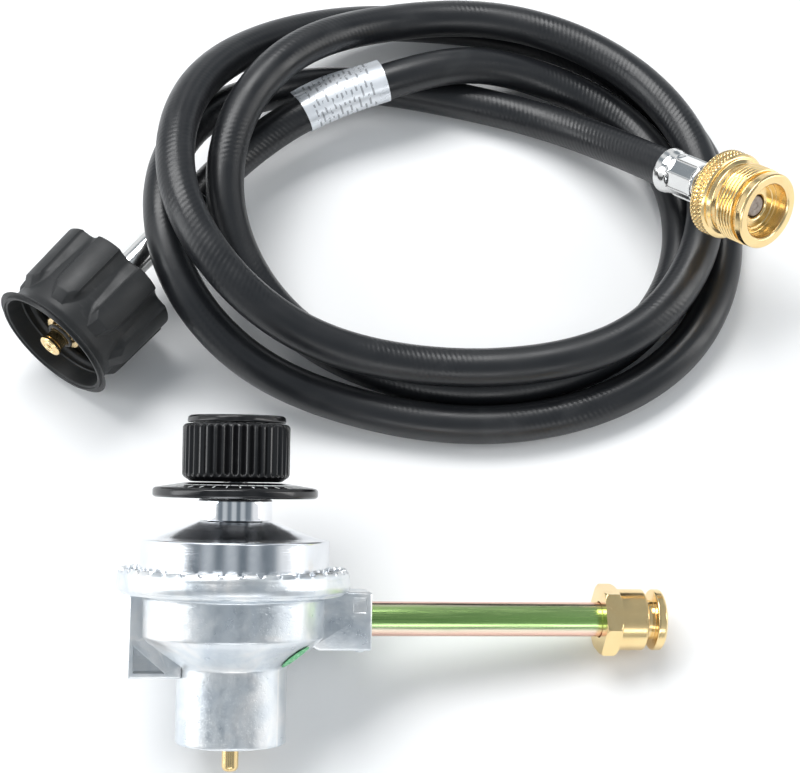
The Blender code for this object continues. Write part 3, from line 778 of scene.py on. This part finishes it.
def build_hose():
    start = [on_axis(NUT, HOSE_START_S), on_axis(NUT, HOSE_START_S - 12)]
    stop = [on_axis(CONNECTOR, -12), on_axis(CONNECTOR, 0)]
    path = smooth_curve([*start, *ROUTE, *stop], HOSE_RINGS)
    path[:, 2] = np.maximum(path[:, 2], HOSE_FLOOR)
    first = np.array(on_axis(NUT, HOSE_START_S + INTO_BELL))
    last = np.array(on_axis(CONNECTOR, INTO_BELL))
    path = np.vstack([first, path, last])
    travelled = distances(path)
    line = path / MM
    rows = swept_rows(line, level_frames(line), round_section(HOSE_RADIUS, HOSE_SIDES))
    mesh = skin("hose_fine", rows, ring_closed=False, wrap=travelled / MM)
    hose = finished(mesh, "hose_fine", Matrix.Identity(4), RUBBER, "hose_set", ["hose"])
    label = build_label(line, travelled / MM)


def build_label(line, travelled):
    """Foil film wrapped once round the hose, with its overlapping end standing up as a small flag."""
    wanted = np.linspace(LABEL_FROM, LABEL_TO, 60)
    path = np.stack([np.interp(wanted, travelled, line[:, k]) for k in range(3)], axis=-1)
    turn = np.radians(np.linspace(118, 118 + 372, 90))
    radius = HOSE_RADIUS + 0.28 + 0.14 * np.linspace(0, 1, 90)
    wound = np.stack([radius * np.cos(turn), radius * np.sin(turn)], axis=-1)
    ahead = np.array([-math.sin(turn[-1]), math.cos(turn[-1])])
    out = np.array([math.cos(turn[-1]), math.sin(turn[-1])])
    flag = [wound[-1] + ahead * 4.4 * t + out * 0.8 * t * t for t in np.linspace(0.12, 1, 9)]
    centre = np.vstack([wound, flag])
    along = np.gradient(centre, axis=0)
    normal = unit(np.stack([along[:, 1], -along[:, 0]], axis=-1))
    section = np.vstack([centre + normal * 0.07, (centre - normal * 0.07)[::-1]])
    rows = swept_rows(path, level_frames(path), section)
    # The film ripples a little, and the flag's free edge curls.
    rise = np.linspace(0, 1, 99) ** 24
    free = np.concatenate([rise, rise[::-1]])
    curl = np.sin(np.linspace(0, 5.2, 60))[:, None] * free[None] * 0.5
    rows = rows + curl[..., None] * np.array([0.2, 0.5, 0.8])
    mesh = skin("hose_label_fine", rows, ring_closed=False, wrap=wanted - LABEL_FROM)
    return finished(mesh, "hose_label_fine", Matrix.Identity(4), FOIL, "hose_set", ["hose_label"])


# ---- tank nut end ----


def nut_outside(angles, s):
    """Radius of the nut's outside: eight flat-topped pads with hollow flutes between, over a smooth neck."""
    off = 1 - np.abs(((angles * NUT_PADS / TAU) % 1.0) - 0.5) * 2  # 0 on a pad's middle, 1 between pads
    flat = NUT_RADIUS - 0.35 * (off / 0.5) ** 2
    wall = ease((off - 0.5) / 0.07)
    bowl = np.sin(np.clip((off - 0.57) / 0.43, 0, 1) * math.pi / 2)
    fluted = flat * (1 - wall) + (NUT_RADIUS - 1.2 - 1.5 * bowl) * wall
    neck = 19.0 + 0.5 * ease((24 - s) / 8) + 1.3 * ease((s - 27) / 4.0)
    pad_end = 22.4 - 2.5 * np.maximum(0, off / 0.5 - 0.55) / 0.45
    kept = 1 - np.clip((s - pad_end) / 3.4, 0, 1)
    draft = 0.035 * s
    return np.maximum(neck, neck + (fluted - draft - neck) * kept)


def nut_shape(angles, radii, heights):
    if radii[0] > 18.9 and heights[0] < 30.9:
        edge = np.clip((0.8 - heights) / 0.8, 0, 1) ** 2 * 0.7
        return nut_outside(angles, heights[0]) - edge, heights
    if abs(radii[0] - NUT_BORE) < 0.01 and 7 < heights[0] < 25:
        fade = faded(heights, 7, 25, 2, 2)
        return radii - 0.75 * ease(saw(heights / 5.08 - angles / TAU) * 1.6 - 0.3) * fade, heights
    return radii, heights


def probe_shape(angles, radii, heights):
    """Two notches across the probe's collar, for a spanner."""
    if 6.2 < radii[0] < 6.9 and 22 < heights[0] < 26.5:
        notch = ease((np.abs(np.cos(angles)) - 0.93) / 0.03)
        return radii - 1.7 * notch, heights
    return radii, heights


def crimped(lobes, low, high):
    """Ferrule shape: pressed flats with raised lines between them."""
    def shape(angles, radii, heights):
        if radii[0] < 6.2:
            return radii, heights
        inside = faded(heights, low, high, 1.2, 1.2)
        phase = (angles * lobes / TAU) % 1.0
        flat = np.cos(math.pi / lobes) / np.cos((phase - 0.5) * TAU / lobes)
        ridge = np.exp(-((saw(phase) / 0.07) ** 2)) * 0.3
        pressed = radii * (1 - inside) + (radii * (flat + 0.012) + ridge - 0.2) * inside
        return pressed, heights

    return shape


def ferrule_outline(inner, bell_s, plain_s):
    """Crimped sleeve with a flared bell that the hose enters."""
    return [
        (inner, bell_s + 2.8), (6.6, bell_s + 2.8), (6.75, bell_s), (7.6, bell_s),
        (7.7, bell_s + 0.5), (7.5, bell_s + 2.4), (6.95, bell_s + 4.4),
        (6.9, plain_s - 1.6), (6.3, plain_s - 0.4), (5.7, plain_s), (inner, plain_s),
    ]


def build_nut_end():
    nut = [
        (22.0, 0), (22.0, 30.9), (20.3, 31.0), (20.2, NUT_LENGTH), (19.5, NUT_LENGTH), (19.4, 31.5),
        (18.75, 31.45), (18.6, 31.0), (17.9, 26), (NUT_BORE, 25.6), (NUT_BORE, 4),
        (STEM_RADIUS + 0.45, 4), (STEM_RADIUS + 0.45, 0),
    ]
    turned("coupling_nut", nut, NUT, BLACK, "tank_nut", 448, 0.15, 0.45, nut_shape, 24)
    bushing = [(STEM_RADIUS + 0.4, 4.3), (14.5, 4.3), (14.5, 7.5), (STEM_RADIUS + 0.4, 7.5)]
    turned("thermal_bushing", bushing, NUT, BUSH, "tank_nut")
    nipple = [
        (5.45, 7.8), (11, 7.8), (11, 11), (8, 12.2), (8, 20), (6.8, 21.4), (6.8, 25.8), (6.3, 26.4),
        (3.35, 26.4), (3.3, 31.0), (3.9, 31.5), (3.9, 32.4), (3.6, PROBE_TIP), (2.8, PROBE_TIP), (2.7, 32.55),
        (2.35, 32.55), (2.25, PROBE_TIP), (1.1, PROBE_TIP), (0.95, 32.4), (0.95, 24), (2.6, 23), (2.6, 14),
        (5.45, 14),
    ]
    turned("inlet_nipple", nipple, NUT, BRASS, "hose_set", 128, 0.15, 0.6, probe_shape)
    turned("nipple_seal", ring(4.2, 0.6, 27.4), NUT, DARK_SEAL, "hose_set", 64, 0)
    poppet = [(0, 19.2), (2.2, 19.2), (2.2, 21.6), (0.7, 22.6), (0, 22.6)]
    turned("check_poppet", poppet, NUT, BRASS, "check_valve", 48)
    spring("check_spring", 1.8, 0.28, 14.4, 17.4, 3, NUT, "hose_set")
    stem = [(3, 13.7), (STEM_RADIUS, 13.7), (STEM_RADIUS, -40.7), (3, -40.7)]
    turned("stem_tube", stem, NUT, NICKEL, "hose_set", 96, 0.2, 2.0)
    sleeve = ferrule_outline(STEM_RADIUS + 0.3, -40.7, -26.0)
    turned("nut_end_ferrule", sleeve, NUT, NICKEL, "hose_set", 192, 0.3, 0.6, crimped(8, -36.0, -27.5))


# ---- connector end ----


def connector_shape(angles, radii, heights):
    s = heights[0]
    if radii[0] > 13.9:
        # Diamond knurl: two families of slanting cuts.
        fade = faded(s, 24.5, 29.5, 0.5, 0.5)
        around = angles * KNURL_TEETH / TAU
        slope = (s - 27) / 1.45
        cut = np.maximum(saw(around + slope), saw(around - slope))
        return radii - 0.6 * fade * np.clip((cut - 0.35) / 0.65, 0, 1), heights
    if abs(radii[0] - THREAD_RADIUS) < 0.06 and 34 < s < 41.4:
        fade = faded(s, 34.2, 41.3, 0.9, 0.5)
        cut = ease(saw(s / THREAD_PITCH - angles / TAU) * 1.25 - 0.12)
        return radii - 0.78 * cut * fade, heights
    return radii, heights


def build_connector_end():
    sleeve = ferrule_outline(NECK_RADIUS + 0.3, 0.3, 17.5)
    turned("connector_ferrule", sleeve, CONNECTOR, NICKEL, "hose_set", 192, 0.3, 0.6, crimped(8, 5.0, 16.5))
    tailpiece = [
        (2.6, 0.3), (4.6, 0.3), (4.6, 26.6), (7.3, 26.6), (7.3, 28.6), (4.6, 28.6), (4.6, 30.2), (2.6, 30.2),
    ]
    turned("connector_tailpiece", tailpiece, CONNECTOR, NICKEL, "hose_set", 96, 0.15)
    body = [
        (7.9, 24), (13.5, 24), (KNURL_RADIUS, 24.6), (KNURL_RADIUS, 29.4), (13.5, 30), (12.6, 30.1),
        (11.7, 31.2), (11.7, 33.2), (12.2, 34), (THREAD_RADIUS, 34.4), (THREAD_RADIUS, 41.0), (11.5, 41.15),
        (11.5, 42.0), (12.1, 42.05), (12.4, 42.4), (12.4, LIP_S - 0.5), (11.9, LIP_S), (9.5, LIP_S),
        (CONNECTOR_BORE, LIP_S - 0.5), (CONNECTOR_BORE, 40), (7.3, 40), (7.15, 39.8), (6.9, 39.8), (6.75, 40),
        (4.3, 40), (3.8, 39.6), (3.8, 36.5), (7.9, 36.5),
    ]
    sides = KNURL_TEETH * 6
    turned("connector_body", body, CONNECTOR, BRASS, "connector", sides, 0.22, 0.16, connector_shape)
    retainer = [(NECK_RADIUS + CLEAR, 24.2), (7.6, 24.2), (7.6, 26.3), (NECK_RADIUS + CLEAR, 26.3)]
    turned("swivel_retainer", retainer, CONNECTOR, STEEL, "connector", 72)
    turned("swivel_seal", ring(5.8, 0.8, 29.7), CONNECTOR, DARK_SEAL, "connector", 64, 0)
    spring("connector_spring", 4.2, 0.4, 31.0, 33.4, 2, CONNECTOR, "connector")
    poppet = [
        (0, 35.2), (6, 35.2), (6, 36.2), (3.4, 36.2), (3.4, 39.2), (3.0, 39.7), (1.1, 39.7), (0.9, 39.3),
        (0, 39.3),
    ]
    turned("connector_poppet", poppet, CONNECTOR, BEIGE, "connector_valve", 72, 0.3)


# ---- regulator ----


def casting_shape(angles, radii, heights):
    r, s = radii[0], heights[0]
    if abs(r - SOCKET_RADIUS) < 0.01 and 1 < s < 11.5:
        fade = faded(s, 1.2, 11.5, 1.0, 1.0)
        return radii - 0.5 * fade * ease(saw(s / THREAD_PITCH - angles / TAU) * 1.3 - 0.15), heights
    if r > 31.3 and s > 49.9:
        # The lip is rolled over the bonnet and pressed down at each crimp.
        phase = (angles * CRIMPS / TAU + 0.03 * np.sin(angles * 5)) % 1.0
        press = np.clip(1 - ((phase - 0.5) / 0.17) ** 2, 0, 1) ** 0.7
        lip = ease((s - 49.9) / 0.9)
        between = 0.12 * np.sin(angles * 7 + 1) * lip
        down = (1.15 * press - 0.05) * lip * ease((34.1 - r) / 0.9)
        return radii + 0.35 * press * lip, heights - down + between - 0.12
    if r > 33 and 43.8 < s < 49:
        return radii + 0.08 * np.sin(angles * 5 + 0.6) - 0.08, heights
    return radii, heights


def build_casting():
    outline = [
        (4.8, 14), (SOCKET_RADIUS, 14), (SOCKET_RADIUS, 0.9), (13.7, 0), (15.7, 0), (INLET_RADIUS, 0.5),
        (INLET_RADIUS, 22.4), (16.7, 23.0), (FUNNEL_RADIUS, FUNNEL_TOP), (27.4, 31.4), (27.4, 42.8),
        (29.5, 43.4), (32.8, 43.7), (33.3, 44.4), (34.2, 44.9), (FLANGE_RADIUS, 46.4), (34.3, 48.2),
        (33.9, 50.2), (33.2, 51.2), (32.0, 51.2), (31.5, 50.7), (31.5, 49.6), (33.3, 49.6), (33.3, 45.6),
        (25, 45.6), (25, 34), (22, 31.5), (4.8, 31.5),
    ]
    body = turned_mesh("casting", outline, CRIMPS * 12, 0.5, 0.5, casting_shape)
    bracket_outline = [(-30.3, 19.4), (-15, 19.4), (-15, 24), (-26, 33), (-26, 43.4), (-30.3, 43.4)]
    bracket = block(bracket_outline, -7, 7, 0.6)
    pocket_outline = [(-28.9, 21.0), (-18.6, 21.0), (-28.9, 30.2)]
    boss = block([(20, 30), (24.6, 27.6), (40.3, 27.6), (40.3, 44.7), (20, 44.7)], -8.5, 8.5, 0.7)
    recess = block([(34.6, 38.6), (38.6, 38.6), (38.6, 43.2), (34.6, 43.2)], -9.5, -7.6, 0.25)
    stake = turned_mesh("stake", [(0, -1), (1.5, -1), (1.5, 0.4), (1.0, 0.7), (0, 0.7)], 32, 0.2)
    stake.transform(Matrix.Translation((37.2, -4.5, 27.6)) @ Matrix.Rotation(math.pi, 4, "X"))
    seam = block([(-29.8, 29.6), (-28.6, 31), (-17.2, 20.9), (-18.6, 20.0)], -6.6, -6.0, 0.1)
    chamber = turned_mesh("chamber", [(0, 34), (25, 34), (25, 45.5), (0, 45.5)], CRIMPS * 12, 0)
    hole = TUBE_RADIUS + CLEAR
    bore = turned_mesh("bore", [(0, 22), (hole, 22), (hole, 42), (0, 42)], 64, 0)
    bore.transform(Matrix.Translation((0, 0, TUBE_S)) @ Matrix.Rotation(math.pi / 2, 4, "Y"))
    mesh = combined(body, [
        ("UNION", bracket), ("DIFFERENCE", block(pocket_outline, -9, -1.5, 0.35)),
        ("DIFFERENCE", block(pocket_outline, 1.5, 9, 0.35)), ("UNION", boss), ("DIFFERENCE", recess),
        ("UNION", stake), ("UNION", seam), ("DIFFERENCE", chamber), ("DIFFERENCE", bore),
    ])
    finished(mesh, "regulator_body_fine", REGULATOR, ZINC, "regulator", ["regulator_body"], 32)


def knob_shape(angles, radii, heights):
    """Rounded flutes round the knob's grip."""
    if radii[0] < 13.9 or not 77.6 < heights[0] < 93.2:
        return radii, heights
    fade = faded(heights, 77.6, 93.2, 1.6, 0.7)
    groove = np.clip((saw(angles * KNOB_FLUTES / TAU) - 0.3) / 0.7, 0, 1) ** 0.8
    return radii - 1.1 * groove * fade, heights


def skirt_height(radius):
    """Height of the dial skirt's sloping face."""
    (rim, low), (inner, high) = SKIRT_RIM, SKIRT_TOP
    return low + (rim - radius) * (high - low) / (rim - inner)


def dial_marks():
    """Printed scale on the skirt: ticks, a widening band, two dots and an arrow, raised a little above it."""
    shapes = []
    for k in range(19):
        turn = math.radians(-150 + 10 * k)
        tick = ((-0.008, 20.4), (0.008, 20.4), (0.007, 22.6), (-0.007, 22.6))
        shapes.append([(turn + off, radius) for off, radius in tick])
    for k in range(24):
        start = math.radians(-150 + 7.5 * k)
        stop = start + 0.115
        half = (0.15 + 1.35 * k / 23) / 2
        inner, outer = 18.4 - half, 18.4 + half
        shapes.append([(start, inner), (stop, inner), (stop, outer), (start, outer)])
    circle = np.linspace(0, TAU, 16, endpoint=False)
    for turn in (math.radians(50), math.radians(75)):
        shapes.append([(turn + 0.09 * math.cos(a), 20 + 1.8 * math.sin(a)) for a in circle])
    arrow = ((100, 19.4), (122, 19.4), (122, 18.2), (130, 20.0), (122, 21.8), (122, 20.6), (100, 20.6))
    shapes.append([(math.radians(turn), radius) for turn, radius in arrow])
    bm = bmesh.new()
    for shape in shapes:
        low, high = [], []
        for turn, radius in shape:
            flat = (radius * math.cos(turn), radius * math.sin(turn))
            low.append(bm.verts.new((*flat, skirt_height(radius) - 0.05)))
            high.append(bm.verts.new((*flat, skirt_height(radius) + 0.06)))
        bm.faces.new(high)
        bm.faces.new(low[::-1])
        for k in range(len(low)):
            m = (k + 1) % len(low)
            bm.faces.new((low[k], low[m], high[m], high[k]))
    return mesh_of(bm, "dial_marks")


def build_knob():
    skirt = [
        (SPINDLE_RADIUS + CLEAR, 71.8), (SKIRT_RADIUS - 0.7, 71.8), (SKIRT_RADIUS, 72.4),
        (SKIRT_RADIUS, 74.1), SKIRT_RIM, SKIRT_TOP, (SPINDLE_RADIUS + CLEAR, SKIRT_TOP[1]),
    ]
    turned("dial_skirt", skirt, REGULATOR, GLOSS, "knob", 192, 0.3, 1.5)
    knob = [
        (SPINDLE_RADIUS + CLEAR, 76.5), (13.4, 76.5), (15.5, 77.9), (KNOB_RADIUS, 78.8), (KNOB_RADIUS, 92.6),
        (15.3, 93.4), (14.6, 93.6), (SPINDLE_RADIUS + CLEAR, 93.6),
    ]
    turned("control_knob", knob, REGULATOR, GLOSS, "knob", KNOB_FLUTES * 10, 0.35, 0.6, knob_shape)
    cap = [
        (0, 93.9), (14.4, 93.9), (14.6, 94.4), (14.4, 95.6), (13.6, 96.1), (12.6, 95.9), (6, 95.6), (0, 95.5),
    ]
    turned("knob_cap", cap, REGULATOR, GLOSS, "knob", 128, 0.3, 1.0)
    finished(dial_marks(), "dial_marks", REGULATOR, MARKS, "knob")
    spindle = [(0, 62.9), (SPINDLE_RADIUS, 62.9), (SPINDLE_RADIUS, 92.2), (0, 92.2)]
    turned("control_spindle", spindle, REGULATOR, STEEL, "knob", 64)
    adjuster = [(0, 59.4), (9.5, 59.4), (9.5, 61), (6, 61.4), (6, 62.5), (0, 62.5)]
    turned("spring_adjuster", adjuster, REGULATOR, BRASS, "adjuster", 72)


def build_bonnet():
    bonnet = [
        (25.6, 47.2), (33, 47.2), (33, 49.2), (29.2, 49.3), (28.1, 50.2), (28.0, 58.9), (28.1, 59.2),
        (27.7, 59.6), (27.0, 59.6), (24.5, 60.2), (18, 62.6), (12.4, 64.4), (11.3, 64.8), (8.2, 64.8),
        (8.2, 63.4), (25.6, 57.6),
    ]
    turned("regulator_bonnet", bonnet, REGULATOR, ZINC_POLISHED, "regulator", 256, 0.35, 0.8)
    sleeve = [
        (SPINDLE_RADIUS + 0.35, 63.5), (7.9, 63.5), (7.9, 65.1), (SLEEVE_RADIUS, 65.1), (SLEEVE_RADIUS, 71),
        (SLEEVE_RADIUS - 0.5, 71.5), (SPINDLE_RADIUS + 0.35, 71.5),
    ]
    turned("stem_sleeve", sleeve, REGULATOR, CHROME, "regulator", 128, 0.25, 1.0)


def build_regulator_inside():
    pin = [
        (0, -8.2), (1.5, -8.2), (2.1, -7.8), (2.45, -6.9), (2.45, 14.4), (4.5, 14.4), (4.5, 18.4), (0, 18.4),
    ]
    turned("inlet_pin", pin, REGULATOR, BRASS, "regulator", 72, 0.3, 1.0)
    gasket = [(8.2, 11.8), (12.2, 11.8), (12.2, 13.7), (8.2, 13.7)]
    turned("inlet_gasket", gasket, REGULATOR, DARK, "regulator", 96)
    seat = [(1.6, 26.8), (4.5, 26.8), (4.5, 31.8), (6, 31.8), (6, 33), (1.6, 33)]
    turned("valve_seat", seat, REGULATOR, BRASS, "regulator", 72)
    plug = [(0, 23.6), (3.2, 23.6), (3.2, 26.3), (0.9, 26.5), (0.9, 45.2), (0, 45.2)]
    turned("valve_plug", plug, REGULATOR, BEIGE, "valve", 48)
    spring("plug_spring", 2.7, 0.3, 18.8, 22.0, 3, REGULATOR, "regulator")
    sheet = [
        (12.6, 46), (20, 46), (21.5, 46.9), (23.5, 46.9), (25, 46), (33, 46), (33, 46.8), (24.8, 46.8),
        (23.8, 47.7), (21.2, 47.7), (20.2, 46.8), (12.6, 46.8),
    ]
    turned("diaphragm", sheet, REGULATOR, DARK, "regulator", 128, 0.3)
    plate = [(2.4, 46.1), (12.2, 46.1), (12.2, 47.3), (2.4, 47.3)]
    turned("diaphragm_plate", plate, REGULATOR, STEEL, "diaphragm_set", 96)
    rivet = [(0, 45.5), (2.1, 45.5), (2.1, 47.6), (3.6, 47.6), (3.2, 48.8), (0, 48.8)]
    turned("diaphragm_rivet", rivet, REGULATOR, BRASS, "diaphragm_set", 64)
    spring("main_spring", 9.0, 0.75, 47.7, 56.4, 3.5, REGULATOR, "regulator")


def hexagon(angles, radii, heights):
    if not HEX_FROM - 0.1 <= heights[0] <= HEX_TO + 0.1 or radii[0] < 8.2:
        return radii, heights
    flat = HEX_FLAT / np.cos((angles % (math.pi / 3)) - math.pi / 6)
    chamfer = np.clip(np.minimum(heights - HEX_FROM, HEX_TO - heights) / 0.9, 0, 1)
    return np.minimum(flat, 10.1 + 1.15 * chamfer ** 0.5), heights


def jet_shape(angles, radii, heights):
    """Ring of small holes drilled in the jet's dome."""
    if not 2.2 < radii[0] < 3.3 or heights[0] < 131.0:
        return radii, heights
    around = np.clip(1 - (saw(angles * 6 / TAU) / 0.35) ** 2, 0, 1)
    across = np.clip(1 - abs(radii[0] - 2.75) / 0.45, 0, 1)
    return radii, heights - 0.8 * (around * across)


def build_outlet():
    tube = [(4.2, 26.5), (TUBE_RADIUS, 26.5), (TUBE_RADIUS, 117), (4.2, 117)]
    turned("outlet_tube", tube, OUTLET, PLATED_PAINTED_SHEEN, "regulator", 96, 0.2, 3.0)
    bore = TUBE_RADIUS + CLEAR
    fitting = [
        (bore, HEX_FROM), (9.3, HEX_FROM), (HEX_FLAT, 111.35), (HEX_FLAT, 115.65), (9.3, HEX_TO),
        (FITTING_RADIUS, 116.1), (FITTING_RADIUS, 124.2), (8.8, 124.5), (6, 124.5), (6, 127.3), (8.9, 127.3),
        (FITTING_RADIUS, 127.6), (FITTING_RADIUS, 129.7), (8.6, HEAD_X), (4.1, HEAD_X), (3.9, 130.1),
        (3.9, 129.9), (2.5, 129.9), (2.5, 118), (bore, 118),
    ]
    turned("outlet_fitting", fitting, OUTLET, BRASS, "regulator", 192, 0.2, 0.4, hexagon)
    jet = [
        (0.6, 126), (2.2, 126), (2.2, 130.2), (3.5, 130.2), (3.5, 131.0), (3.2, 131.8), (2.4, 132.3),
        (1.5, 132.5), (0.6, 132.5),
    ]
    turned("outlet_jet", jet, OUTLET, BRASS, "regulator", 96, 0.15, 0.2, jet_shape)


def build_sticker():
    """Oval inspection sticker that follows the casting's funnel."""
    slope = (FUNNEL_RADIUS - INLET_RADIUS) / (FUNNEL_TOP - FUNNEL_LOW)
    rows = []
    for lift, shares in ((0.45, np.linspace(0.02, 1, 8)), (0.675, np.linspace(0.97, 0.02, 8))):
        for share in shares:
            row = []
            for k in range(72):
                turn = TAU * k / 72
                s = STICKER_S + 3.2 * share * math.sin(turn)
                radius = INLET_RADIUS + (s - FUNNEL_LOW) * slope + lift
                angle = math.radians(STICKER_ANGLE) + 2.6 * share * math.cos(turn) / radius
                row.append((radius * math.cos(angle), radius * math.sin(angle), s))
            rows.append(row)
    mesh = skin("inspection_sticker_fine", rows, ring_closed=False)
    finished(mesh, "inspection_sticker_fine", REGULATOR, GREEN, "regulator", ["inspection_sticker"])


build_studio()
build_hose()
build_nut_end()
build_connector_end()
build_casting()
build_bonnet()
build_knob()
build_regulator_inside()
build_outlet()
build_sticker()

bpy.context.view_layer.update()
